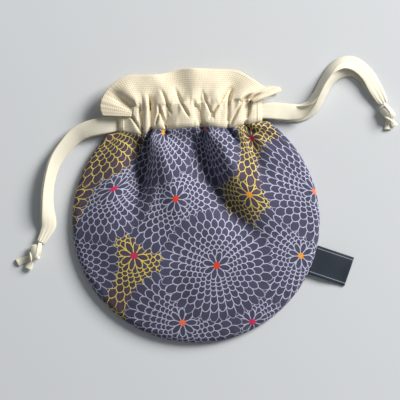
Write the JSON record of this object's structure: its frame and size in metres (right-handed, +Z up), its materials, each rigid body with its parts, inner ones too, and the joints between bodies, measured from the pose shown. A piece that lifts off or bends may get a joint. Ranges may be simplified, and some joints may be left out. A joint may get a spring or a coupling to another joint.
{
  "type": "fabric pouch",
  "caption": "Round lined cotton pouch lying flat, its ruffled mouth gathered by flat tapes in channels, with a woven label in the side seam.",
  "frame": {"origin": "middle of the round body, on the flat outer face of the back panel that the pouch lies on", "axes": "+Z up out of the front panel, +Y from the round bottom towards the gathered mouth, +X to the right"},
  "size_m": [0.3065, 0.2298, 0.0213],
  "materials": {
    "printed_cotton": "matt plain weave, printed",
    "cream_cotton": "matt plain weave with fine pin dots",
    "cotton_tape": "matt woven tape",
    "woven_label": "smooth woven label, slight sheen"
  },
  "bodies": {
    "root": {"outer_front": "printed_cotton", "outer_back": "printed_cotton", "lining_front": "cream_cotton", "lining_back": "cream_cotton", "band_front": "cream_cotton", "band_back": "cream_cotton", "drawstring_left": "cotton_tape", "drawstring_right": "cotton_tape", "drawstring_left_knot": "cotton_tape", "drawstring_right_knot": "cotton_tape", "side_label": "woven_label"}
  },
  "joints": []
}
